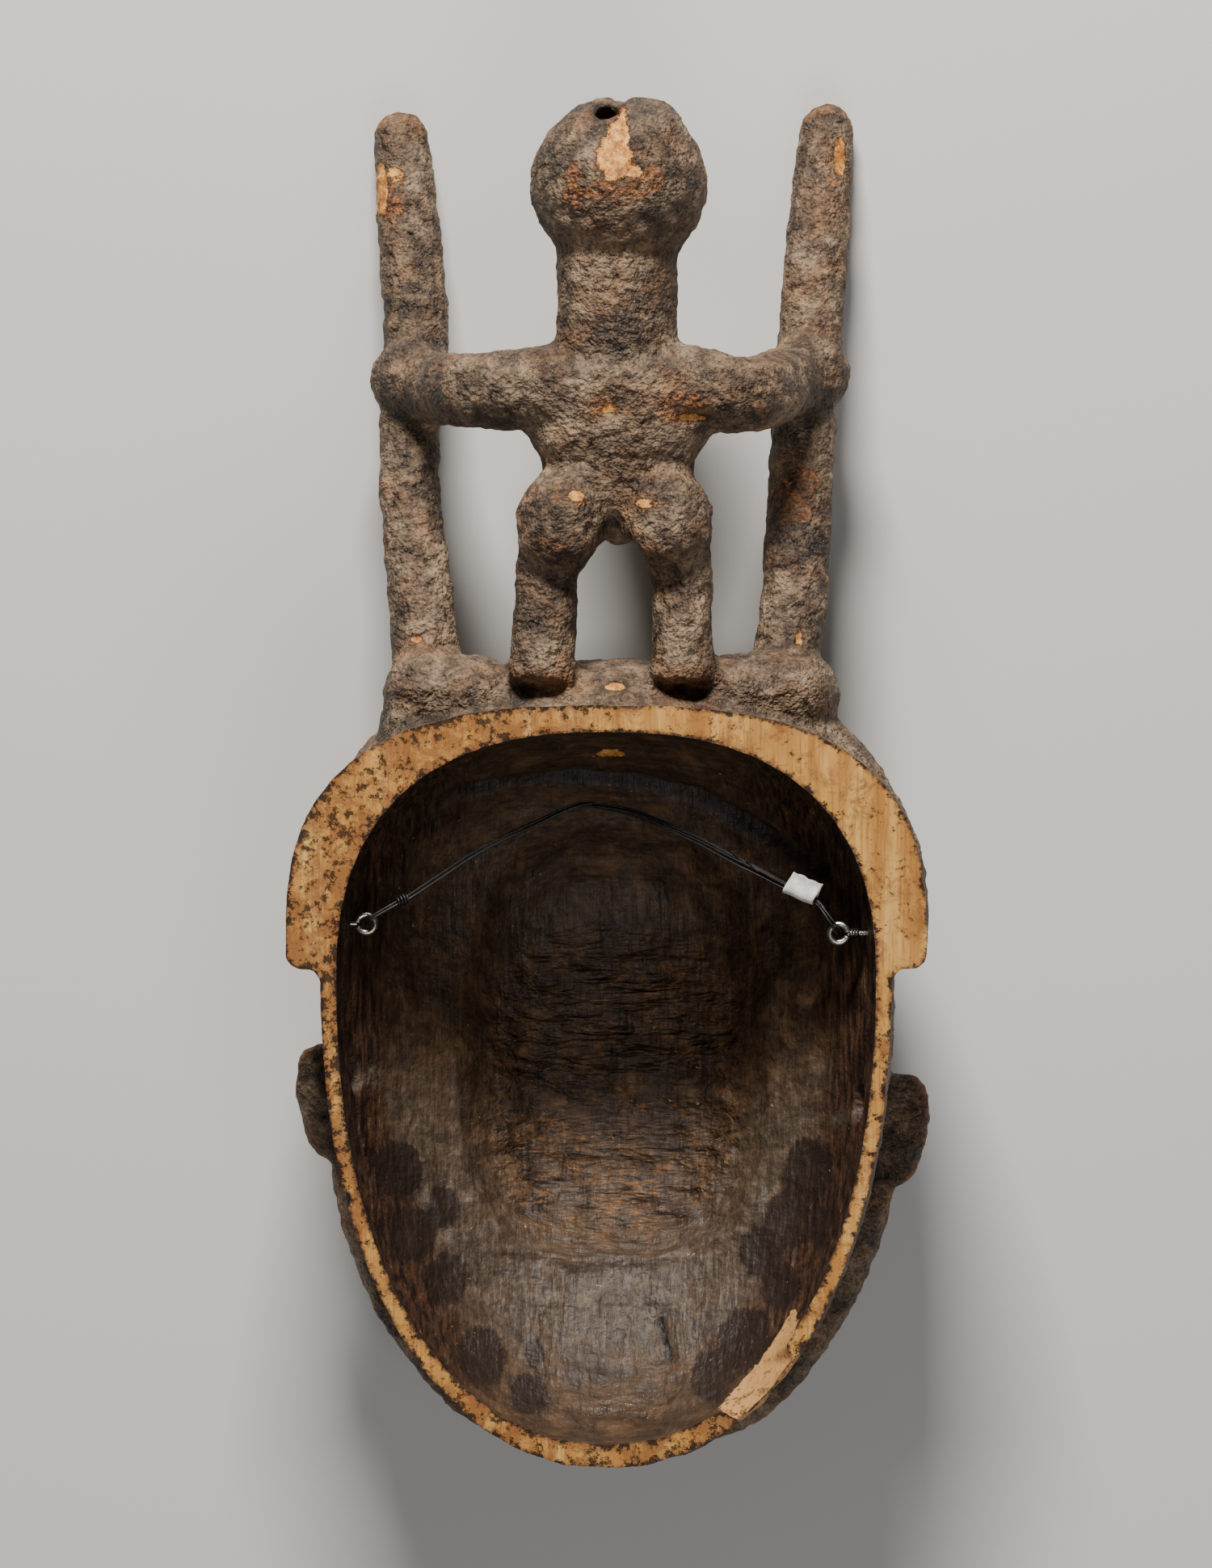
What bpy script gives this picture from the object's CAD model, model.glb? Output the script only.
"""Looks of a carved wooden face mask with a figure on its crown, lying face down under a camera above.

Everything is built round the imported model. +X is the right side seen from the hollow back, +Y points
to the figure's head and +Z up out of the hollow. Sizes are in metres.
"""

import math

import bmesh
import bpy
import numpy as np
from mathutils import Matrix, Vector, kdtree, noise
from mathutils.bvhtree import BVHTree


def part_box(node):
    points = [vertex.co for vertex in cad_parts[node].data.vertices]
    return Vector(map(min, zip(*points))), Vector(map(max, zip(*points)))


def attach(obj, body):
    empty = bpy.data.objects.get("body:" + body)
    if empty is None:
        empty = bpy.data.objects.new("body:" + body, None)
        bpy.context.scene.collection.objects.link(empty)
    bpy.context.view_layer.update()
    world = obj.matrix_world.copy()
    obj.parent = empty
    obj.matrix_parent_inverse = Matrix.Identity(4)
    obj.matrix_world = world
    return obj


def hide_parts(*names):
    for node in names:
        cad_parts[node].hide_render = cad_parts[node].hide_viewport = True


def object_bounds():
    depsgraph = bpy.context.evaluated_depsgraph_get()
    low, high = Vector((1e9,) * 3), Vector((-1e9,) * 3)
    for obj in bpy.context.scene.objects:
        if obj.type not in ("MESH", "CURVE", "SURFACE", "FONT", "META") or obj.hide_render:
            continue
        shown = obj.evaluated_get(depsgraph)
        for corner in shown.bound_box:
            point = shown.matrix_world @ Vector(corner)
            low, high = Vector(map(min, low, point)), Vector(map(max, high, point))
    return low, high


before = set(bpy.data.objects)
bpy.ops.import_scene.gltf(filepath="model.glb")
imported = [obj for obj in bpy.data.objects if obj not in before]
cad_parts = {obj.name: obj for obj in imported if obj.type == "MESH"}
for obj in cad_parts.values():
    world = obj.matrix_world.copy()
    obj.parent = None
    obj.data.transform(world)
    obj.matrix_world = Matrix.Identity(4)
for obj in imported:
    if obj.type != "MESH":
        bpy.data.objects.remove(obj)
cad_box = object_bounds()

# The photograph and its camera, which leans a little to the right of straight above
PHOTO_HEIGHT = 1941
PIXELS_PER_METRE = 3000
CAMERA_DISTANCE = 12.0
CAMERA_LEAN = math.radians(2.4)
SENSOR_WIDTH = 36  # in millimetres
FLOOR_HALF_SIZE = 6

# The rim and the hollow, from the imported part's box
RIM_Z = cad_box[1].z
CHIN_Y = cad_box[0].y
RIM_HALF_WIDTH = 0.118
RIM_CENTRE_Y = -0.080
RIM_TOP_Y = 0.022
WALL = 0.0065
FLANGE_HALF_WIDTH = cad_box[1].x
FLANGE_END_Y = -0.0765
FLANGE_END_RISE = 0.64  # how much further up the flange's end is for each unit that it is deeper
FLANGE_CORNER = 0.007
RIM_SQUARENESS = 2.3  # 2 for an ellipse, more for a squarer one

CARVING_TRIANGLES = 190000
FORM_SIZE = 0.0015  # the finest form that the carving keeps
CRUST_DEPTH = 0.0007  # of the lumps in the patina
SAW_STOCK = 0.004  # how far the carving runs on above the rim before it is sawn flat
RIM_SQUARE = 0.0025  # the sawn face is ruled into squares of this size
DIRTY_EDGE = 0.0042  # how far in from its edges the sawn face is dirty

# Tool cuts: how far apart they are along X, Y and Z, and how deep
KNIFE_CUT, KNIFE_DEPTH = (0.014, 0.010, 0.012), 0.0005
ADZE_CUT, ADZE_DEPTH = (0.022, 0.0080, 0.021), 0.0044
SCOOP_CUT, SCOOP_DEPTH = (0.020, 0.017, 0.016), 0.0022
LEDGE_WIDTH, LEDGE_HEIGHT = 2.0, 0.0016  # the width in millimetres
CRACK_WIDTH, CRACK_DEPTH = 0.8, 0.0012
BARE_DEPTH = 0.0008  # how deep the patina is chipped off


def srgb(red, green, blue):
    """A colour given as a screen shows it, 0 to 255, as Blender's linear values."""
    out = []
    for c in (red, green, blue):
        c /= 255
        out.append(c / 12.92 if c <= 0.04045 else ((c + 0.055) / 1.055) ** 2.4)
    return (*out, 1.0)


# Node materials


class Nodes:
    """A material's node tree, with a short way to add and link nodes."""

    def __init__(self, name):
        self.material = bpy.data.materials.new(name)
        self.material.use_nodes = True
        self.tree = self.material.node_tree
        self.shader = self.tree.nodes["Principled BSDF"]
        self.place = self.add("ShaderNodeTexCoord").outputs["Object"]

    def add(self, kind, **settings):
        node = self.tree.nodes.new(kind)
        for key, value in settings.items():
            setattr(node, key, value)
        return node

    def put(self, value, socket):
        if isinstance(value, bpy.types.NodeSocket):
            self.tree.links.new(value, socket)
        else:
            socket.default_value = value

    def attribute(self, name):
        return self.add("ShaderNodeAttribute", attribute_name=name).outputs["Fac"]

    def stretched(self, x, y, z):
        node = self.add("ShaderNodeMapping")
        self.put(self.place, node.inputs["Vector"])
        node.inputs["Scale"].default_value = (x, y, z)
        return node.outputs["Vector"]

    def noise(self, size, detail=4.0, rough=0.55, twist=0.0, place=None):
        """Noise with features of about that size in metres, or in the stretched place's own units."""
        node = self.add("ShaderNodeTexNoise")
        self.put(self.place if place is None else place, node.inputs["Vector"])
        node.inputs["Scale"].default_value = 1 / size
        node.inputs["Detail"].default_value = detail
        node.inputs["Roughness"].default_value = rough
        node.inputs["Distortion"].default_value = twist
        return node.outputs["Fac"]

    def ramp(self, value, *stops):
        """Colour by value: stops are (position, colour)."""
        node = self.add("ShaderNodeValToRGB")
        self.put(value, node.inputs["Fac"])
        points = node.color_ramp.elements
        while len(points) < len(stops):
            points.new(0.5)
        for point, (position, colour) in zip(points, stops):
            point.position = position
            point.color = colour
        return node.outputs["Color"]

    def band(self, value, low, high, to_low=0.0, to_high=1.0):
        """The value's share between low and high, kept within them."""
        node = self.add("ShaderNodeMapRange")
        for socket, number in zip(node.inputs, (value, low, high, to_low, to_high)):
            self.put(number, socket)
        return node.outputs["Result"]

    def math(self, operation, a, b, clamp=False):
        node = self.add("ShaderNodeMath", operation=operation, use_clamp=clamp)
        self.put(a, node.inputs[0])
        self.put(b, node.inputs[1])
        return node.outputs[0]

    def plus(self, a, b):
        return self.math("ADD", a, b)

    def times(self, a, b, clamp=False):
        return self.math("MULTIPLY", a, b, clamp)

    def mix(self, share, a, b, blend="MIX"):
        node = self.add("ShaderNodeMix", data_type="RGBA", blend_type=blend)
        self.put(share, node.inputs[0])
        self.put(a, node.inputs[6])
        self.put(b, node.inputs[7])
        return node.outputs[2]

    def bump(self, height, distance, strength=1.0):
        node = self.add("ShaderNodeBump")
        node.inputs["Distance"].default_value = distance
        self.put(strength, node.inputs["Strength"])
        self.put(height, node.inputs["Height"])
        return node.outputs["Normal"]

    def set(self, **inputs):
        for name, value in inputs.items():
            self.put(value, self.shader.inputs[name.replace("_", " ")])


def carved_wood():
    """Crusty dark patina, worn to golden wood in places, and bare pale wood where it was sawn or split."""
    n = Nodes("carved_wood")
    inside, floor = n.attribute("inside"), n.attribute("floor")
    bare, scuffed, split = n.attribute("bare"), n.attribute("scuffed"), n.attribute("split")
    sawn, edge, pitted = n.attribute("sawn"), n.attribute("edge"), n.attribute("pitted")

    # Outside: sandy grains of brown and grey, with dark gaps between them
    broad = n.noise(0.034, 5, 0.6, 0.4)
    blotch = n.noise(0.0085, 7, 0.72, 0.3)
    grain = n.noise(0.0019, 6, 0.76)
    sand = n.noise(0.0013, 3, 0.6)
    tone = n.plus(n.times(broad, 0.4), n.times(blotch, 0.6))
    crust = n.ramp(
        tone, (0.38, srgb(42, 32, 24)), (0.45, srgb(76, 60, 45)), (0.51, srgb(112, 92, 72)),
        (0.60, srgb(156, 133, 107)),
    )
    tint = n.band(n.noise(0.019, 4, 0.6), 0.46, 0.64)
    crust = n.mix(n.times(tint, 0.6), crust, n.mix(1.0, crust, srgb(250, 206, 166), "MULTIPLY"))
    crust = n.mix(n.band(grain, 0.51, 0.36, 0.0, 0.8), crust, srgb(26, 18, 13))
    crust = n.mix(n.band(sand, 0.58, 0.74, 0.0, 0.45), crust, srgb(176, 154, 126))

    # Hollow: dark streaky wood down its sides, horizontal cuts on its floor, and a grey bloom low down
    along = n.stretched(1, 0.10, 0.25)
    streak = n.noise(0.0019, 5, 0.62, 0.2, along)
    across = n.noise(0.0034, 7, 0.72, 0.3, n.stretched(0.22, 1, 1))
    inner = n.ramp(
        n.noise(0.013, 7, 0.70, 0.5),
        (0.34, srgb(40, 27, 17)), (0.50, srgb(70, 51, 34)), (0.66, srgb(100, 75, 50)),
    )
    inner = n.mix(n.band(across, 0.50, 0.38, 0.0, 0.6), inner, srgb(32, 22, 14))
    side = n.mix(n.band(streak, 0.42, 0.58), srgb(26, 14, 9), srgb(70, 45, 28))
    side = n.mix(n.band(streak, 0.64, 0.73, 0.0, 0.7), side, srgb(150, 116, 80))
    inner = n.mix(n.attribute("flank"), inner, side)
    fine = n.noise(0.0030, 8, 0.8, 0.2, n.stretched(0.4, 1, 1))
    ember = n.times(n.band(fine, 0.50, 0.60), n.band(n.noise(0.014, 5, 0.7), 0.42, 0.58), clamp=True)
    ember = n.times(ember, n.band(floor, 0.0, 1.0, 0.10, 0.70), clamp=True)
    inner = n.mix(ember, inner, srgb(140, 94, 48))
    scratch = n.noise(0.0016, 3, 0.6, 0.4, n.stretched(0.06, 1, 1))
    inner = n.mix(n.times(n.band(scratch, 0.67, 0.73), floor, clamp=True), inner, srgb(160, 122, 84))
    dusty = n.times(n.attribute("dust"), n.band(blotch, 0.34, 0.52, 0.35, 1.0), clamp=True)
    bloom = n.ramp(
        n.noise(0.006, 7, 0.74, 0.3),
        (0.36, srgb(50, 39, 30)), (0.52, srgb(76, 62, 49)), (0.66, srgb(106, 89, 72)),
    )
    inner = n.mix(dusty, inner, bloom)
    spotted = n.plus(n.attribute("spotted"), n.band(n.noise(0.007, 8, 0.8), 0.3, 0.7, -0.4, 0.4))
    inner = n.mix(n.band(spotted, 0.36, 0.60, 0, 0.85), inner, srgb(34, 22, 15))
    fleck = n.times(n.band(n.noise(0.0024, 3, 0.6), 0.71, 0.75), 0.8)
    inner = n.mix(fleck, inner, srgb(198, 140, 84))
    inner = n.mix(n.band(n.attribute("crack"), 0.2, 0.7, 0.0, 0.95), inner, srgb(10, 7, 5))

    # Bare wood, its grain along the mask
    lines = n.noise(0.0011, 5, 0.7, 0.1, n.stretched(1, 0.045, 0.2))
    bands = n.noise(0.009, 4, 0.55, 0.5, n.stretched(1, 0.16, 0.4))
    wood = n.ramp(
        bands, (0.34, srgb(172, 116, 50)), (0.52, srgb(200, 146, 72)), (0.68, srgb(222, 176, 100)),
    )
    wood = n.mix(n.band(lines, 0.50, 0.36, 0.0, 0.6), wood, srgb(142, 88, 36))
    dirt = n.plus(n.times(pitted, 0.6), n.times(edge, 0.5))
    speck = n.noise(0.0046, 9, 0.82)
    stain = n.band(n.plus(n.noise(0.011, 8, 0.76, 0.5), n.times(dirt, 0.15)), 0.52, 0.64)
    rim = n.mix(n.times(stain, 0.75), wood, srgb(132, 78, 36))
    blots = n.band(n.math("SUBTRACT", speck, n.times(dirt, 0.085)), 0.405, 0.35)
    rim = n.mix(n.times(blots, 0.9), rim, srgb(50, 29, 16))
    burnt = n.band(n.plus(edge, n.band(speck, 0.38, 0.62, 0.35, -0.45)), 0.60, 0.90)
    rim = n.mix(n.times(burnt, 0.9), rim, srgb(56, 34, 19))

    # Where the patina is chipped off, and rusty brown where it is only rubbed
    gold = n.ramp(
        n.noise(0.0040, 6, 0.72),
        (0.36, srgb(120, 66, 26)), (0.48, srgb(188, 120, 52)), (0.62, srgb(230, 176, 100)),
    )
    gold = n.mix(n.band(grain, 0.44, 0.34, 0.0, 0.8), gold, srgb(74, 42, 22))
    rust = n.ramp(
        n.noise(0.0028, 7, 0.76),
        (0.40, srgb(58, 36, 24)), (0.50, srgb(112, 68, 38)), (0.60, srgb(176, 116, 62)),
    )
    ragged = n.band(n.noise(0.0052, 9, 0.84), 0.32, 0.68, -0.6, 0.6)
    colour = n.mix(inside, crust, inner)
    colour = n.mix(n.band(n.attribute("recess"), 0.1, 0.8, 0.0, 0.85), colour, srgb(18, 12, 8))
    worn = n.plus(n.attribute("wear"), n.band(blotch, 0.35, 0.65, -0.3, 0.2))
    colour = n.mix(n.band(worn, 0.55, 0.85, 0.0, 0.55), colour, rust)
    colour = n.mix(n.band(n.plus(scuffed, ragged), 0.55, 0.72, 0.0, 0.85), colour, rust)
    bared = n.plus(bare, n.times(ragged, 0.8))
    colour = n.mix(n.band(bared, 0.30, 0.48, 0.0, 0.9), colour, srgb(70, 40, 24))
    colour = n.mix(n.band(bared, 0.46, 0.56), colour, gold)
    fresh = n.mix(n.band(lines, 0.5, 0.3, 0.0, 0.35), srgb(200, 150, 94), srgb(150, 98, 52))
    colour = n.mix(n.band(split, 0.45, 0.55), colour, fresh)
    colour = n.mix(sawn, colour, rim)

    # Grains stand up from the patina, and the saw leaves the rim nearly smooth
    pebbles, grit = n.noise(0.0042, 2.5, 0.55), n.noise(0.0015, 2, 0.5)
    rough = n.plus(pebbles, n.times(grit, 0.40))
    strokes = n.noise(0.0040, 2.5, 0.55, 0.3, n.stretched(0.22, 1, 1))
    drawn = n.noise(0.0024, 2, 0.5, 0.1, n.stretched(1, 0.12, 0.3))
    smooth = n.plus(n.times(strokes, n.band(floor, 0, 1, 0.15, 1.0)), n.times(drawn, 0.25))
    smooth = n.plus(smooth, n.times(pebbles, 0.30))
    relief = n.mix(inside, rough, smooth)
    relief = n.mix(n.band(bared, 0.46, 0.56, 0.0, 0.7), relief, (0.32, 0.32, 0.32, 1))
    ridges = n.noise(0.0018, 2, 0.5, 0.1, n.stretched(1, 0.045, 0.2))
    flat = n.math("SUBTRACT", n.times(ridges, 0.08), n.times(blots, 0.15))
    relief = n.mix(n.math("MAXIMUM", sawn, n.band(split, 0.45, 0.55)), relief, flat)
    gloss = n.times(n.attribute("gloss"), n.band(blotch, 0.4, 0.6), clamp=True)
    dull = n.mix(inside, n.band(blotch, 0.35, 0.65, 0.52, 0.85), n.band(streak, 0.3, 0.7, 0.48, 0.70))
    dull = n.mix(sawn, dull, n.band(lines, 0.3, 0.7, 0.60, 0.75))
    n.set(
        Base_Color=colour,
        Roughness=n.mix(gloss, dull, n.band(grain, 0.3, 0.7, 0.16, 0.4)),
        Normal=n.bump(relief, 0.0038),
    )
    n.shader.inputs["Specular IOR Level"].default_value = 0.4
    return n.material


def steel():
    """Bright steel, scratched and here and there tarnished."""
    n = Nodes("steel")
    scratch = n.noise(0.0006, 4, 0.7)
    tarnish = n.noise(0.0035, 3, 0.6)
    n.set(
        Base_Color=n.ramp(
            tarnish, (0.40, srgb(232, 230, 224)), (0.58, srgb(205, 198, 182)), (0.72, srgb(170, 140, 98)),
        ),
        Roughness=n.band(scratch, 0.3, 0.7, 0.22, 0.42),
        Normal=n.bump(scratch, 0.00006, 0.6),
    )
    n.shader.inputs["Metallic"].default_value = 1.0
    return n.material


def black_wire():
    """Black coated strands, rubbed brown in places."""
    n = Nodes("black_wire")
    fine = n.noise(0.0005, 3, 0.6)
    n.set(
        Base_Color=n.ramp(
            n.noise(0.003, 4, 0.6),
            (0.40, srgb(16, 14, 13)), (0.62, srgb(34, 29, 26)), (0.74, srgb(74, 60, 50)),
        ),
        Roughness=n.band(fine, 0.3, 0.7, 0.34, 0.62),
        Normal=n.bump(fine, 0.00005, 0.5),
    )
    return n.material


def white_tape():
    """Matt white paper tape."""
    n = Nodes("white_tape")
    fibre = n.noise(0.0004, 4, 0.6)
    n.set(
        Base_Color=n.ramp(n.noise(0.004, 4, 0.6), (0.38, srgb(206, 198, 190)), (0.60, srgb(232, 228, 222))),
        Roughness=n.band(fibre, 0.3, 0.7, 0.55, 0.75),
        Normal=n.bump(fibre, 0.00008, 0.4),
    )
    return n.material


# The carving


def new_object(name, mesh, material=None):
    o = bpy.data.objects.new(name, mesh)
    bpy.context.scene.collection.objects.link(o)
    if material:
        mesh.materials.clear()
        mesh.materials.append(material)
    return o


def evaluated(o, name):
    """The object's mesh with its modifiers applied, in place of the object."""
    tree = bpy.context.evaluated_depsgraph_get()
    tree.update()
    mesh = bpy.data.meshes.new_from_object(o.evaluated_get(tree))
    mesh.name = name
    old = o.data
    bpy.data.objects.remove(o, do_unlink=True)
    if old.users == 0:
        bpy.data.meshes.remove(old)
    return mesh


def points_of(mesh):
    """Where the mesh's points are, one row for each."""
    co = np.empty(len(mesh.vertices) * 3, np.float32)
    mesh.vertices.foreach_get("co", co)
    return co.reshape(-1, 3).astype(float)


def normals_of(mesh):
    """Which way the mesh faces at each point, one row for each."""
    out = np.empty(len(mesh.vertices) * 3, np.float32)
    mesh.vertex_normals.foreach_get("vector", out)
    return out.reshape(-1, 3).astype(float)


def step(values, low, high):
    """A smooth step from 0 at low to 1 at high."""
    t = np.clip((values - low) / (high - low), 0, 1)
    return t * t * (3 - 2 * t)


def lumps(points, size, octaves=3, shift=0.0):
    """Fractal noise at each point, about -1 to 1, with features of that size in metres."""
    basis = "PERLIN_ORIGINAL"
    scaled = points / size + shift
    return np.array([noise.fractal(Vector(p), 0.6, 2.0, octaves, noise_basis=basis) for p in scaled])


def facets(points, size, shift=0.0):
    """Distance to the nearest of scattered points, 0 in the middle of each tool cut."""
    scaled = points / np.array(size) + shift
    return np.array([noise.voronoi(Vector(p))[0][0] for p in scaled])


def smoothed(values, pairs, count, rounds):
    """Values averaged with their neighbours along the mesh's edges, that many times."""
    a, b = pairs[:, 0], pairs[:, 1]
    degree = np.bincount(a, minlength=count) + np.bincount(b, minlength=count)
    degree = np.maximum(degree, 1)
    for _ in range(rounds):
        total = np.bincount(a, values[b], count) + np.bincount(b, values[a], count)
        values = 0.4 * values + 0.6 * total / degree
    return values


def edges_of(mesh):
    """The two points' numbers for each of the mesh's edges."""
    out = np.empty(len(mesh.edges) * 2, np.int32)
    mesh.edges.foreach_get("vertices", out)
    return out.reshape(-1, 2)


def in_rim_outline(points, inset):
    """True where a point is inside the rim's rounded outline, that far in from its outer edge."""
    x, y = points[:, 0], points[:, 1]
    reach = np.where(y > RIM_CENTRE_Y, RIM_TOP_Y + WALL - RIM_CENTRE_Y, RIM_CENTRE_Y - CHIN_Y) - inset
    across = np.abs(x) / (RIM_HALF_WIDTH - inset)
    along = np.abs(y - RIM_CENTRE_Y) / reach
    return across**RIM_SQUARENESS + along**RIM_SQUARENESS < 1


def open_above(points, normals, mesh):
    """True where nothing of the mesh is above a point."""
    tree = BVHTree.FromPolygons([v.co for v in mesh.vertices], [p.vertices[:] for p in mesh.polygons])
    up = Vector((0, 0, 1))
    starts = points + normals * 0.002
    return np.array([tree.ray_cast(Vector(p), up)[0] is None for p in starts])


def fused_carving():
    """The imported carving, softened, and carried on above the rim so that the saw's cut comes last."""
    bm = bmesh.new()
    bm.from_mesh(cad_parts["carved_mask"].data)
    bmesh.ops.remove_doubles(bm, verts=bm.verts, dist=1e-6)
    sawn = [f for f in bm.faces if f.normal.z > 0.999 and f.calc_center_median().z > RIM_Z - 1e-4]
    raised = bmesh.ops.extrude_face_region(bm, geom=sawn)["geom"]
    raised = [g for g in raised if isinstance(g, bmesh.types.BMVert)]
    bmesh.ops.translate(bm, verts=raised, vec=(0, 0, SAW_STOCK))
    bmesh.ops.delete(bm, geom=[f for f in sawn if f.is_valid], context="FACES_ONLY")
    mesh = bpy.data.meshes.new("carving")
    bm.to_mesh(mesh)
    bm.free()
    o = new_object("carving", mesh)
    fuse = o.modifiers.new("fuse", "REMESH")
    fuse.mode = "VOXEL"
    fuse.voxel_size = FORM_SIZE
    soften = o.modifiers.new("soften", "SMOOTH")
    soften.factor = 0.5
    soften.iterations = 5
    return evaluated(o, "carving")


# Places on the wood as seen from behind, in millimetres: middle X and Y, reach along X and Y, and strength
BARE_PLACES = (
    (3.7, 258.3, 7.5, 9.5, 1.0), (5.0, 268.5, 5.0, 6.0, 0.9), (7.0, 276.5, 2.6, 4.5, 0.8),
    (12.0, 253.0, 3.4, 2.6, 0.9), (-94.0, 248.0, 3.0, 11.0, 1.0), (-88.0, 254.0, 4.0, 3.5, 0.8),
    (97.5, 261.0, 2.6, 9.0, 0.9), (1.7, 155.0, 3.2, 2.2, 0.8), (36.0, 151.5, 6.5, 2.2, 0.8),
    (-12.7, 119.0, 4.2, 2.4, 0.8), (16.7, 116.0, 5.0, 2.4, 0.75), (4.0, 40.0, 4.4, 2.0, 1.0),
    (-78.5, 60.0, 2.4, 1.8, 0.8), (-31.5, 171.0, 1.4, 0.9, 0.8), (1.7, 12.7, 6.0, 1.7, 0.9),
    (80.0, 60.5, 1.6, 4.0, 0.7),
)
SCUFFED_PLACES = (
    (-13.5, 247.0, 5.0, 10.0, 0.9), (19.5, 250.0, 6.0, 6.5, 0.9), (4.0, 245.0, 16.0, 6.0, 0.8),
    (-90.0, 246.0, 8.0, 15.0, 0.7), (94.0, 258.0, 5.0, 14.0, 0.6), (32.0, 155.0, 14.0, 8.0, 0.75),
    (1.0, 155.0, 9.0, 6.0, 0.6), (80.0, 121.0, 12.0, 15.0, 0.7), (-14.0, 118.0, 9.0, 5.0, 0.6),
    (17.0, 116.0, 9.0, 5.0, 0.6), (0.0, 100.0, 6.0, 7.0, 0.7), (0.0, 40.0, 14.0, 3.0, 0.5),
)
GLOSSY_PLACES = (
    (6.0, -262.0, 16.0, 9.0, 1.0),
)
# Dusty lips of the two side holes, and a dusty place by the right screw eye
LIPS = (
    (96.5, -138.5, 4.5, 3.5, 1.0), (-97.0, -121.0, 3.0, 5.5, 1.0), (96.0, -66.0, 3.0, 2.0, 0.6),
)
# The dark pit in the top of the figure's head, and the groove beside it
PITS = (
    (-2.0, 277.8, 6.0, 4.2, 1.0), (6.2, 277.0, 1.0, 5.0, 0.8),
)
# Dark round spots round the chin: middle X and Y, and radius
SPOTS = (
    (-86.0, -160.0, 12.0), (-68.0, -176.0, 9.0), (-80.0, -186.0, 12.0), (-66.0, -205.0, 11.0),
    (-52.0, -238.0, 13.0), (-32.0, -254.0, 10.0), (84.0, -160.0, 13.0), (75.0, -181.0, 12.0),
    (90.0, -184.0, 9.0), (64.0, -194.0, 11.0), (72.0, -208.0, 10.0), (58.0, -231.0, 14.0),
    (72.0, -240.0, 9.0), (44.0, -246.0, 11.0), (-30.0, -236.0, 6.0),
)
# Lines on the wood: the crease, the floor's lower ledge, the crack, and the split facet's outline
CREASE = (
    (-98.0, -30.0), (-82.0, -16.0), (-62.3, -2.7), (-38.0, 1.5), (-12.7, 3.7), (13.0, 1.5), (38.7, -4.7),
    (63.3, -19.0), (88.3, -35.7),
)
LEDGE = (
    (-74.0, -170.0), (-64.0, -186.0), (-46.0, -195.0), (-30.0, -194.0), (-14.0, -199.0), (4.0, -196.0),
    (20.0, -198.0), (38.0, -191.0), (54.0, -186.0), (64.0, -172.0),
)
CRACK = (
    (22.7, -222.0), (24.0, -228.0), (27.0, -239.0),
)
SPLINTER = (
    (78.3, -215.7), (79.5, -232.3), (82.0, -237.7), (77.0, -243.0), (71.0, -251.5), (57.0, -264.0),
    (49.0, -260.0), (46.5, -257.5), (55.5, -247.5), (63.5, -238.5), (69.0, -230.5),
)
FLOOR = (4.0, -128.0, 60.0, 74.0)
SPLINTER_DROP = 0.055  # how far below the rim the pale facet may reach, in metres
CHIPS = (((-0.1085, -0.171, 0.147), 0.005, 0.0028), ((0.1040, -0.1905, 0.149), 0.002, 0.0012))


def as_seen(points):
    """X and Y in millimetres where the leaning camera sees each point against the rim's plane."""
    deep = RIM_Z - points[:, 2]
    return (points[:, 0] + deep * math.tan(CAMERA_LEAN)) * 1000, points[:, 1] * 1000


def marked(points, places):
    """How strongly each point is in one of the places."""
    x, y = as_seen(points)
    out = np.zeros(len(points))
    for middle_x, middle_y, reach_x, reach_y, strength in places:
        away = np.hypot((x - middle_x) / reach_x, (y - middle_y) / reach_y)
        out = np.maximum(out, strength * (1 - step(away, 0.55, 1.45)))
    return out


def from_line(points, line):
    """Each point's distance in millimetres from a line on the wood, and its share along the line."""
    x, y = as_seen(points)
    best, share = np.full(len(points), 1e9), np.zeros(len(points))
    for i, ((ax, ay), (bx, by)) in enumerate(zip(line, line[1:])):
        dx, dy = bx - ax, by - ay
        t = np.clip(((x - ax) * dx + (y - ay) * dy) / (dx * dx + dy * dy), 0, 1)
        away = np.hypot(x - ax - t * dx, y - ay - t * dy)
        share = np.where(away < best, (i + t) / (len(line) - 1), share)
        best = np.minimum(best, away)
    return best, share


def towards_rim(points):
    """How far out in the hollow a point is seen, 0 in its middle and 1 at the rim."""
    x, y = as_seen(points)
    reach = np.where(y > RIM_CENTRE_Y * 1000, RIM_TOP_Y - RIM_CENTRE_Y, RIM_CENTRE_Y - CHIN_Y - WALL) * 1000
    across = np.abs(x) / ((RIM_HALF_WIDTH - WALL) * 1000)
    along = np.abs(y - RIM_CENTRE_Y * 1000) / reach
    return (across**RIM_SQUARENESS + along**RIM_SQUARENESS) ** (1 / RIM_SQUARENESS)


def on_floor(points):
    """1 on the hollow's scooped floor, and less towards its walls."""
    x, y = as_seen(points)
    middle_x, middle_y, reach_x, reach_y = FLOOR
    away = (np.abs((x - middle_x) / reach_x) ** 3 + np.abs((y - middle_y) / reach_y) ** 3) ** (1 / 3)
    return 1 - step(away, 0.75, 1.0)


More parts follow.
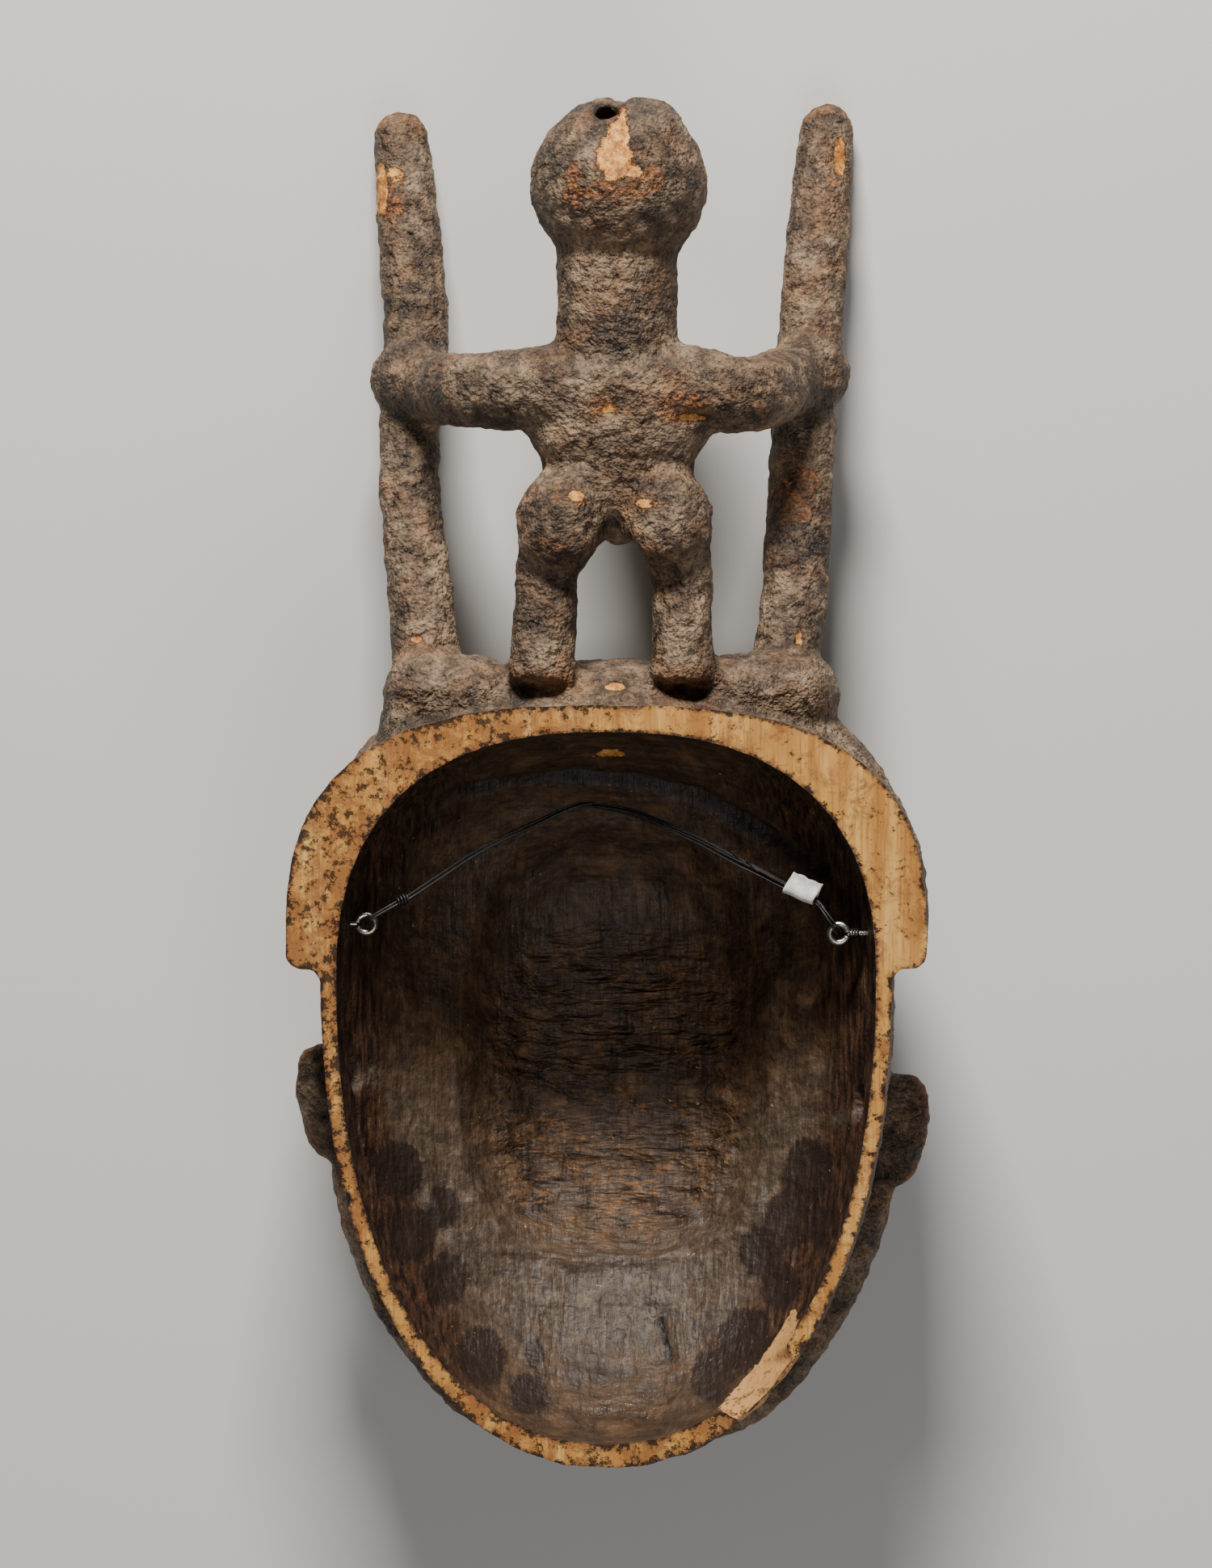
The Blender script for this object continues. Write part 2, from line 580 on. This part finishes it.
def shaped(points, normals, inside):
    """The carving's points with tool cuts, the patina's lumps, the crease, the crack and the chips."""
    outside = 1 - inside
    coarse = lumps(points, 0.018, 2)
    fine = lumps(points, 0.0060, 3, 11.0)
    cuts = facets(points, KNIFE_CUT, 5.0)
    adze = facets(points + 0.25 * points[:, [1, 0, 2]], ADZE_CUT, 2.0)
    scoops = facets(points, SCOOP_CUT, 7.0)
    floor = on_floor(points)
    bare = marked(points, BARE_PLACES)
    out_by = outside * (CRUST_DEPTH * (0.9 * coarse + 1.1 * fine) - KNIFE_DEPTH * (cuts - 0.5))
    cut_by = ADZE_DEPTH * floor * (adze - 0.5) + SCOOP_DEPTH * (1 - floor) * (scoops - 0.5)
    in_by = inside * (cut_by + 0.0003 * fine)
    deep = RIM_Z - points[:, 2]
    in_by = in_by * step(deep, 0.002, 0.022)
    out_by = out_by * (0.35 + 0.65 * step(deep, 0.0, 0.012))
    ledge, _ = from_line(points + 0.0012 * np.stack([fine, fine, fine], axis=1), LEDGE)
    in_by = in_by + inside * (LEDGE_HEIGHT * np.exp(-(ledge / LEDGE_WIDTH) ** 2))
    away, share = from_line(points, CREASE)
    reach = 1.3 + 1.9 * share
    crease = np.exp(-(away / reach) ** 2) * step(share, 0.04, 0.3) * (0.0018 + 0.0032 * share)
    crack, _ = from_line(points, CRACK)
    in_by = in_by - inside * (crease + CRACK_DEPTH * np.exp(-(crack / CRACK_WIDTH) ** 2))
    facing = step(normals[:, 2], -0.1, 0.2)
    chip_by = -BARE_DEPTH * step(bare + 0.25 * fine, 0.40, 0.6) * facing * outside
    for middle, reach, depth in CHIPS:
        away = np.linalg.norm(points - np.array(middle), axis=1)
        chip_by = chip_by - depth * (1 - step(away / reach + 0.2 * fine, 0.5, 1.0)) * outside
    return points + normals * (out_by + in_by + chip_by)[:, None]


def round_flange(points):
    """Rounds the outer corners at the lower ends of the flange."""
    x, y, z = points.T
    end = FLANGE_END_Y + (RIM_Z - z) * FLANGE_END_RISE
    above = np.clip(y - end, 0, FLANGE_CORNER)
    limit = FLANGE_HALF_WIDTH - FLANGE_CORNER + np.sqrt(FLANGE_CORNER**2 - (FLANGE_CORNER - above) ** 2)
    near = (y > end - 0.002) & (y < end + FLANGE_CORNER) & (np.abs(x) > RIM_HALF_WIDTH + 0.002)
    points[:, 0] = np.where(near, np.sign(x) * np.minimum(np.abs(x), limit), x)


def sawn_off(mesh):
    """Saws the carving flat at the rim, and rules the sawn face into small squares that can carry marks."""
    bm = bmesh.new()
    bm.from_mesh(mesh)
    everything = bm.verts[:] + bm.edges[:] + bm.faces[:]
    found = bmesh.ops.bisect_plane(
        bm, geom=everything, plane_co=(0, 0, RIM_Z), plane_no=(0, 0, 1), clear_outer=True, dist=1e-7,
    )
    rim = [e for e in found["geom_cut"] if isinstance(e, bmesh.types.BMEdge)]
    filled = bmesh.ops.triangle_fill(bm, edges=rim, use_beauty=True, normal=(0, 0, 1))["geom"]
    faces = [g for g in filled if isinstance(g, bmesh.types.BMFace)]
    part = [*{v for f in faces for v in f.verts}, *{e for f in faces for e in f.edges}, *faces]
    for axis in (0, 1):
        low, high = cad_box[0][axis], cad_box[1][axis]
        if axis == 1:
            high = RIM_TOP_Y + 0.015
        count = int((high - low) / RIM_SQUARE)
        for i in range(1, count):
            place, normal = Vector(), Vector()
            place[axis], normal[axis] = low + (high - low) * i / count, 1
            part = bmesh.ops.bisect_plane(bm, geom=part, plane_co=place, plane_no=normal, dist=1e-7)["geom"]
    for v in bm.verts:
        if v.co.z > RIM_Z - 1e-6:
            v.co.z = RIM_Z
    bmesh.ops.triangulate(bm, faces=[f for f in bm.faces if len(f.verts) > 3])
    bm.to_mesh(mesh)
    bm.free()


def build_mask(material):
    """The carving as one fine mesh, shaped, thinned, sawn flat at the rim, and marked for its colours."""
    mesh = fused_carving()
    points, normals = points_of(mesh), normals_of(mesh)
    pairs = edges_of(mesh)
    count = len(points)
    inside = (in_rim_outline(points, WALL / 2) & open_above(points, normals, mesh)).astype(float)
    inside = smoothed(inside, pairs, count, 2)
    points = shaped(points, normals, inside)
    round_flange(points)
    mesh.vertices.foreach_set("co", points.astype(np.float32).ravel())
    mesh.update()

    o = new_object("carving", mesh)
    thin = o.modifiers.new("thin", "DECIMATE")
    thin.ratio = min(1.0, CARVING_TRIANGLES / (2 * len(mesh.polygons)))
    mesh = evaluated(o, "mask_carving")
    points = points_of(mesh)
    for axis in (0, 1):
        points[:, axis] = np.clip(points[:, axis], cad_box[0][axis], cad_box[1][axis])
    points[:, 2] = np.maximum(points[:, 2], cad_box[0].z)
    mesh.vertices.foreach_set("co", points.astype(np.float32).ravel())
    mesh.update()
    sawn_off(mesh)
    paint(mesh)
    piece = new_object("mask_carving", mesh, material)
    mesh.shade_smooth()
    sharpen(mesh)
    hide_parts("carved_mask")
    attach(piece, "root")


def sharpen(mesh):
    """Keeps the edge between the sawn rim and the rest crisp."""
    sawn = np.empty(len(mesh.polygons), np.float32)
    mesh.attributes["sawn"].data.foreach_get("value", sawn)
    seen = {}
    sharp = np.zeros(len(mesh.edges), bool)
    loops = np.empty(len(mesh.loops), np.int32)
    mesh.loops.foreach_get("edge_index", loops)
    for polygon in mesh.polygons:
        kind = sawn[polygon.index] > 0.5
        for e in loops[polygon.loop_start:polygon.loop_start + polygon.loop_total]:
            if seen.setdefault(e, kind) != kind:
                sharp[e] = True
    attribute = mesh.attributes.new("sharp_edge", "BOOLEAN", "EDGE")
    attribute.data.foreach_set("value", sharp)


def store(mesh, name, values, domain="POINT"):
    """Keeps the values on the mesh under that name, for the material to read."""
    attribute = mesh.attributes.new(name, "FLOAT", domain)
    attribute.data.foreach_set("value", np.asarray(values, np.float32))


def paint(mesh):
    """Says for each point how worn, dirty, dusty, bare or pitted it is."""
    points, normals = points_of(mesh), normals_of(mesh)
    pairs = edges_of(mesh)
    count = len(points)
    on_rim = points[:, 2] > RIM_Z - 1e-5
    inside = (in_rim_outline(points, WALL / 2) & open_above(points, normals, mesh)).astype(float)
    inside = smoothed(inside, pairs, count, 2)
    even = np.stack([smoothed(points[:, k], pairs, count, 24) for k in range(3)], axis=1)
    stand = np.einsum("ij,ij->i", points - even, normals)
    stand = smoothed(np.where(on_rim, 0, stand), pairs, count, 2)
    x, y = as_seen(points)
    out, floor = towards_rim(points), on_floor(points)
    facing = step(normals[:, 2], -0.1, 0.2)
    sides = step(np.abs(x), 40, 75)
    store(mesh, "inside", inside)
    store(mesh, "floor", floor)
    store(mesh, "flank", step(out + 0.06 * lumps(points, 0.024, 2), 0.79, 0.86) * sides)
    low = step(-y + 0.35 * np.abs(x), 130, 165)
    low = low * (1 - 0.8 * step(-y + 6 * lumps(points, 0.014, 2, 3.0), 222, 246))
    dust = low * step(out, 0.52, 0.66) * (1 - step(out, 0.80, 0.88) * step(np.abs(x), 25, 70))
    dust = np.maximum(dust, marked(points, LIPS) * inside)
    store(mesh, "dust", np.maximum(dust, 0.45 * low * (1 - floor) * (1 - step(out, 0.78, 0.86))))
    spots = marked(points, [(a, b, r * 0.8, r, 1.0) for a, b, r in SPOTS])
    store(mesh, "spotted", spots * (1 - step(out, 0.93, 0.97)))
    crease, share = from_line(points, CREASE)
    crack, _ = from_line(points, CRACK)
    dark = np.exp(-(crease / (1.4 + 2.4 * share)) ** 2) * step(share, 0.03, 0.3)
    store(mesh, "crack", np.exp(-(crack / 1.4) ** 2) * inside)
    pits = marked(points, PITS) * facing * (1 - inside)
    store(mesh, "recess", np.maximum.reduce([step(-stand, 0.0006, 0.0030), dark * inside, pits]))
    store(mesh, "wear", step(stand, 0.0004, 0.0026) * (1 - inside))
    seen = np.where(on_rim, 0, facing)
    store(mesh, "bare", marked(points, BARE_PLACES) * seen)
    store(mesh, "scuffed", marked(points, SCUFFED_PLACES) * seen)
    store(mesh, "gloss", marked(points, GLOSSY_PLACES) * inside)
    rim_edge = np.zeros(count, bool)
    for a, b in pairs:
        if on_rim[a] != on_rim[b]:
            rim_edge[a if on_rim[a] else b] = True
    tree = kdtree.KDTree(int(rim_edge.sum()))
    for i in np.flatnonzero(rim_edge):
        tree.insert(Vector(points[i]), int(i))
    tree.balance()
    away = np.array([tree.find(Vector(p))[2] if flat else 1.0 for p, flat in zip(points, on_rim)])
    store(mesh, "edge", 1 - step(away, 0.0, DIRTY_EDGE))
    left_top = step(-x, -30, 60) * step(y, -215, -140)
    store(mesh, "pitted", np.clip(0.1 + np.maximum(left_top, 0.8 * step(-y, 215, 260)), 0, 1.1))
    faces = np.array([p.center.z > RIM_Z - 1e-4 and p.normal.z > 0.99 for p in mesh.polygons], float)
    store(mesh, "sawn", faces, "FACE")
    store(mesh, "split", splinter_faces(mesh), "FACE")


def splinter_faces(mesh):
    """1 on the pale facet that split off the hollow's wall, low on the right."""
    centres = np.array([p.center for p in mesh.polygons])
    x, y = as_seen(centres)
    within = np.zeros(len(x), bool)
    for (ax, ay), (bx, by) in zip(SPLINTER, SPLINTER[1:] + SPLINTER[:1]):
        crosses = ((ay > y) != (by > y)) & (x < ax + (bx - ax) * (y - ay) / (by - ay))
        within ^= crosses
    up = np.array([p.normal.z for p in mesh.polygons])
    return (within & (up > 0.02) & (centres[:, 2] > RIM_Z - SPLINTER_DROP)).astype(float)


# Screw eyes, wire and tape
RING_DIAMETER = 0.0100
RING_WIRE = 0.0026
RING_OPENING = math.radians(22)
THREAD_TURNS, THREAD_DEPTH = 11, 0.00016
SHANK_STEPS = 60

TIGHT_STRAND = 0.00055  # radius of the two strands on the left
LOOSE_STRAND = 0.00038  # radius of the strands on the right
KNOT_STATION = 26  # where the knot is, counted along the bundle's line
KNOT_TURNS, KNOT_LENGTH = 3.6, 0.0050
STEM_TURNS = 3.2

TAPE_WIDTH, TAPE_THICKNESS = 0.0135, 0.00022  # the width runs along the wire
TAPE_REACH = 0.0068  # from the wire to where its two ends meet
TAPE_FOLD = 0.0024  # the fold's radius
TAPE_SQUARES = 14

# The bundle between its rings: X, Y and height above the rings' middles
WIRE_BENDS = (
    (-0.0868, -0.0488, 0.002), (-0.0820, -0.0463, 0.000), (-0.0687, -0.0375, -0.002),
    (-0.0570, -0.0297, -0.003), (-0.0447, -0.0230, -0.004), (-0.0305, -0.0163, -0.005),
    (-0.0173, -0.0102, -0.006), (-0.0095, -0.0086, -0.006), (-0.0025, -0.0092, -0.006),
    (0.0107, -0.0120, -0.006), (0.0247, -0.0176, -0.005), (0.0387, -0.0240, -0.004),
    (0.0527, -0.0317, -0.003), (0.0620, -0.0363, -0.002), (0.0733, -0.0424, -0.001),
    (0.0850, -0.0480, 0.001),
)


def frames_along(points):
    """For each point on a route, its direction and two directions across it that don't twist."""
    points = [Vector(p) for p in points]
    out = []
    side = Vector((0, 0, 1))
    for i in range(len(points)):
        along = (points[min(i + 1, len(points) - 1)] - points[max(i - 1, 0)]).normalized()
        side = (side - along * side.dot(along)).normalized()
        out.append((points[i], along, side, along.cross(side)))
    return out


def tube(bm, points, radius, sides=8):
    """A round tube with flat ends along the points. Radius may be a number or one for each point."""
    rings = []
    for i, (middle, _, a, b) in enumerate(frames_along(points)):
        r = radius[i] if hasattr(radius, "__len__") else radius
        rings.append([
            bm.verts.new(middle + (a * math.cos(t) + b * math.sin(t)) * r)
            for t in (2 * math.pi * k / sides for k in range(sides))
        ])
    for low, high in zip(rings, rings[1:]):
        for k in range(sides):
            m = (k + 1) % sides
            bm.faces.new((low[k], low[m], high[m], high[k]))
    bm.faces.new(list(reversed(rings[0])))
    bm.faces.new(rings[-1])


def smooth_route(points, per_span):
    """Points along a smooth curve through the given ones."""
    points = [Vector(p) for p in points]
    out = []
    for i in range(len(points) - 1):
        p, q = points[max(i - 1, 0)], points[i]
        r, s = points[i + 1], points[min(i + 2, len(points) - 1)]
        for k in range(per_span):
            t = k / per_span
            bend, twist = 2 * p - 5 * q + 4 * r - s, 3 * q - p - 3 * r + s
            out.append(0.5 * (2 * q + (r - p) * t + bend * t**2 + twist * t**3))
    out.append(points[-1])
    return out


def piece_from(bm, name, material, node):
    """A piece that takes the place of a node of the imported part."""
    bmesh.ops.recalc_face_normals(bm, faces=bm.faces)
    mesh = bpy.data.meshes.new(name)
    bm.to_mesh(mesh)
    bm.free()
    mesh.shade_smooth()
    o = new_object(name, mesh, material)
    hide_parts(node)
    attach(o, "root")
    return o


def ring_middle(node, side):
    """The middle of a screw eye's ring. Side is -1 for the left one and 1 for the right one."""
    low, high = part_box(node)
    x = high.x - RING_DIAMETER / 2 if side < 0 else low.x + RING_DIAMETER / 2
    return Vector((x, (low.y + high.y) / 2, (low.z + high.z) / 2))


def build_eye(name, node, side, material):
    """A screw eye bent from one rod: a shank, and a ring left a little open where it meets the shank."""
    low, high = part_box(node)
    middle = ring_middle(node, side)
    radius = (RING_DIAMETER - RING_WIRE) / 2
    route = []
    for k in range(49):
        t = RING_OPENING + (2 * math.pi - RING_OPENING) * k / 48
        rise = 0.0004 * (1 - k / 24)
        route.append(middle + Vector((side * math.cos(t) * radius, -math.sin(t) * radius, -rise)))
    end = low.x if side < 0 else high.x
    shank_start = middle + Vector((side * radius, 0, 0))
    bm = bmesh.new()
    tube(bm, route[:-1], RING_WIRE / 2, 16)
    tip = Vector((end, middle.y, middle.z))
    shank, radii = [], []
    for k in range(SHANK_STEPS + 1):
        share = k / SHANK_STEPS
        thread = THREAD_DEPTH * math.sin(share * 2 * math.pi * THREAD_TURNS) if share > 0.25 else 0
        taper = 0.93 if share < 0.9 else 0.93 - 5 * (share - 0.9)
        shank.append(shank_start.lerp(tip, share))
        radii.append(RING_WIRE / 2 * taper + thread - 0.0001)
    tube(bm, shank, radii, 12)
    return piece_from(bm, name, material, node)


def wire_centre():
    """The bundle's own line, from ring to ring over its highest bend."""
    left = ring_middle("screw_eye_left", -1)
    right = ring_middle("screw_eye_right", 1)
    over = (RING_DIAMETER - RING_WIRE) / 2 + 0.0005
    through_left = ((-0.0002, -0.0002, -0.0055), (0.0002, 0.0002, 0), (0.0022, 0.0024, over))
    through_right = ((-0.0024, 0.0040, over), (-0.0002, 0.0002, 0), (0.0002, -0.0002, -0.0055))
    route = [left + Vector(v) for v in through_left]
    route += [Vector((x, y, left.z + rise)) for x, y, rise in WIRE_BENDS]
    route += [right + Vector(v) for v in through_right]
    return smooth_route(route, 8)


def build_wire(material):
    """Two black strands from the left ring's knot, and more and looser ones towards the right ring."""
    centre = wire_centre()
    stations = frames_along(centre)
    last = len(stations) - 1
    bm = bmesh.new()

    def strand(index, begin, finish, radius, wide, tall, lift=0.0):
        """One strand along part of the bundle, at its own place across it."""
        route = []
        for i in range(int(begin * last), int(finish * last) + 1):
            middle, _, up, across = stations[i]
            share = i / last
            t = (share - begin) / (finish - begin)
            angle = 2.4 * index + 3.1 * share + 0.4 * math.sin(11 * share + index)
            open_by = 0.35 + 0.65 * math.sin(math.pi * min(1, max(0, t))) ** 0.7
            sag = 0.0003 * math.sin(7 * share + 1.7 * index)
            route.append(
                middle + across * (math.cos(angle) * wide * open_by + lift * open_by + sag)
                + up * (math.sin(angle) * tall * open_by)
            )
        tube(bm, route, radius, 6)

    for index in range(2):
        strand(index * 1.3, 0.0, 0.50, TIGHT_STRAND, 0.00065, 0.0006)
    for index in range(7):
        begin = 0.40 + 0.015 * index
        strand(index, begin, 0.885, LOOSE_STRAND, 0.0013, 0.0010, lift=-0.00015 * (index - 3))
    for index in range(5):
        strand(index + 0.5, 0.87, 1.0, LOOSE_STRAND * 1.2, 0.0010, 0.0010)

    # The knot near the left ring
    middle, along, up, across = stations[KNOT_STATION]
    coil = []
    for k in range(72):
        t = k / 71
        angle = 2 * math.pi * KNOT_TURNS * t
        radius = 0.0014 + 0.0006 * math.sin(math.pi * t)
        outwards = up * math.sin(angle) + across * math.cos(angle)
        coil.append(middle + along * (KNOT_LENGTH * (t - 0.5)) + outwards * radius)
    tube(bm, coil, TIGHT_STRAND, 6)

    # Turns round the right ring's stem, and two free ends near the tape
    ends = bmesh.new()
    stem = ring_middle("screw_eye_right", 1) + Vector((RING_DIAMETER / 2 - RING_WIRE / 2, 0, 0))
    radius = RING_WIRE / 2 + LOOSE_STRAND * 1.4
    coil = []
    for k in range(60):
        t = k / 59
        angle = 2 * math.pi * STEM_TURNS * t + 1.0
        turn = Vector((0.0008 + 0.0034 * t, math.cos(angle) * radius, math.sin(angle) * radius))
        coil.append(stem + turn)
    tube(ends, coil, LOOSE_STRAND * 1.2, 6)
    for share, out, reach in ((0.745, -0.0030, 0.010), (0.765, -0.0022, 0.007)):
        middle, along, up, across = stations[int(share * last)]
        route = [
            middle - along * reach * t + across * (out * t**1.5) + up * (0.0008 + 0.0004 * t)
            for t in (0, 0.3, 0.6, 1.0)
        ]
        tube(ends, smooth_route(route, 4), LOOSE_STRAND * 0.9, 6)
    ends = piece_from(ends, "wire_ends", material, "hanging_wire")
    o = piece_from(bm, "wire_bundle", material, "hanging_wire")


def build_tape(material):
    """A blank strip folded over the bundle, its two ends stuck together above it."""
    low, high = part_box("tape_sleeve")
    centre = wire_centre()
    middle = (low + high) / 2
    nearest = min(range(len(centre)), key=lambda i: (centre[i] - middle).length)
    _, along, up, across = frames_along(centre)[nearest]
    middle = centre[nearest]
    if across.y < 0:
        across = -across
    side = []
    for k in range(8):
        t = k / 7
        apart = 0.0004 + (TAPE_FOLD - 0.0004) * step(np.array(t), 0.2, 0.9)
        side.append((TAPE_REACH - (TAPE_REACH + 0.0002) * t, apart))
    turns = [math.pi * k / 12 for k in range(1, 12)]
    fold = [(-0.0002 - TAPE_FOLD * math.sin(t), TAPE_FOLD * math.cos(t)) for t in turns]
    profile = [*side, *fold, *((v, -w) for v, w in reversed(side))]
    bm = bmesh.new()
    rows = []
    for i in range(TAPE_SQUARES + 1):
        u = (i / TAPE_SQUARES - 0.5) * TAPE_WIDTH
        slant = 0.0006 * math.sin(7 * i / TAPE_SQUARES)
        row = []
        for face in (1, -1):
            for j, (v, w) in enumerate(profile):
                before, after = profile[max(j - 1, 0)], profile[min(j + 1, len(profile) - 1)]
                run = Vector((after[0] - before[0], after[1] - before[1])).normalized()
                v2, w2 = v + run.y * TAPE_THICKNESS * face, w - run.x * TAPE_THICKNESS * face
                fray = 0.00025 * math.sin(5.1 * i + j) if j in (0, len(profile) - 1) else 0
                row.append(middle + along * (u + v * 0.12) + across * (v2 + slant * 0.3 + fray) + up * w2)
        count = len(profile)
        rows.append([bm.verts.new(p) for p in [*row[:count], *reversed(row[count:])]])
    around = len(rows[0])
    for a, b in zip(rows, rows[1:]):
        for k in range(around):
            m = (k + 1) % around
            bm.faces.new((a[k], a[m], b[m], b[k]))
    for row in (rows[0], rows[-1]):
        for k in range(around // 2 - 1):
            bm.faces.new((row[k], row[k + 1], row[around - 2 - k], row[around - 1 - k]))
    return piece_from(bm, "tape_fold", material, "tape_sleeve")


# Floor, light and camera


def aim(o, place, target):
    o.location = place
    o.rotation_euler = (Vector(target) - Vector(place)).to_track_quat("-Z", "Y").to_euler()


def area_light(name, place, target, size, power, colour):
    data = bpy.data.lights.new(name, "AREA")
    data.shape = "RECTANGLE"
    data.size, data.size_y = size
    data.energy = power
    data.color = colour
    o = bpy.data.objects.new(name, data)
    bpy.context.scene.collection.objects.link(o)
    aim(o, place, target)


def build_stage():
    """A plain pale floor, a soft key light beyond the head, and a weak fill beyond the chin."""
    bm = bmesh.new()
    bmesh.ops.create_grid(bm, x_segments=1, y_segments=1, size=FLOOR_HALF_SIZE)
    mesh = bpy.data.meshes.new("floor")
    bm.to_mesh(mesh)
    bm.free()
    n = Nodes("floor")
    n.set(Base_Color=srgb(214, 212, 208))
    n.shader.inputs["Roughness"].default_value = 0.9
    new_object("floor", mesh, n.material)
    world = bpy.data.worlds.new("world")
    bpy.context.scene.world = world
    world.use_nodes = True
    background = world.node_tree.nodes["Background"]
    background.inputs["Color"].default_value = (0.75, 0.78, 0.82, 1)
    background.inputs["Strength"].default_value = 0.07
    area_light(
        "key", place=(-0.15, 2.1, 1.55), target=(0, -0.02, 0.08), size=(0.7, 0.45), power=125,
        colour=(1.0, 0.97, 0.93),
    )
    area_light(
        "fill", place=(0.4, -1.3, 2.0), target=(0, 0, 0.05), size=(1.2, 1.2), power=16,
        colour=(0.97, 0.98, 1.0),
    )


def build_camera():
    """Above the hollow and a little to its right, on a long lens, as in the photograph."""
    data = bpy.data.cameras.new("camera")
    data.sensor_width = SENSOR_WIDTH
    data.lens = SENSOR_WIDTH * CAMERA_DISTANCE / (PHOTO_HEIGHT / PIXELS_PER_METRE)
    data.clip_end = 40
    o = bpy.data.objects.new("camera", data)
    bpy.context.scene.collection.objects.link(o)
    target = Vector((0, 0, RIM_Z))
    o.location = target + Vector((math.sin(CAMERA_LEAN), 0, math.cos(CAMERA_LEAN))) * CAMERA_DISTANCE
    o.rotation_euler = (0, CAMERA_LEAN, 0)
    bpy.context.scene.camera = o


def main():
    build_mask(carved_wood())
    metal = steel()
    build_eye("left_screw_eye", "screw_eye_left", -1, metal)
    build_eye("right_screw_eye", "screw_eye_right", 1, metal)
    tape = build_tape(white_tape())
    build_wire(black_wire())
    build_stage()
    build_camera()


main()
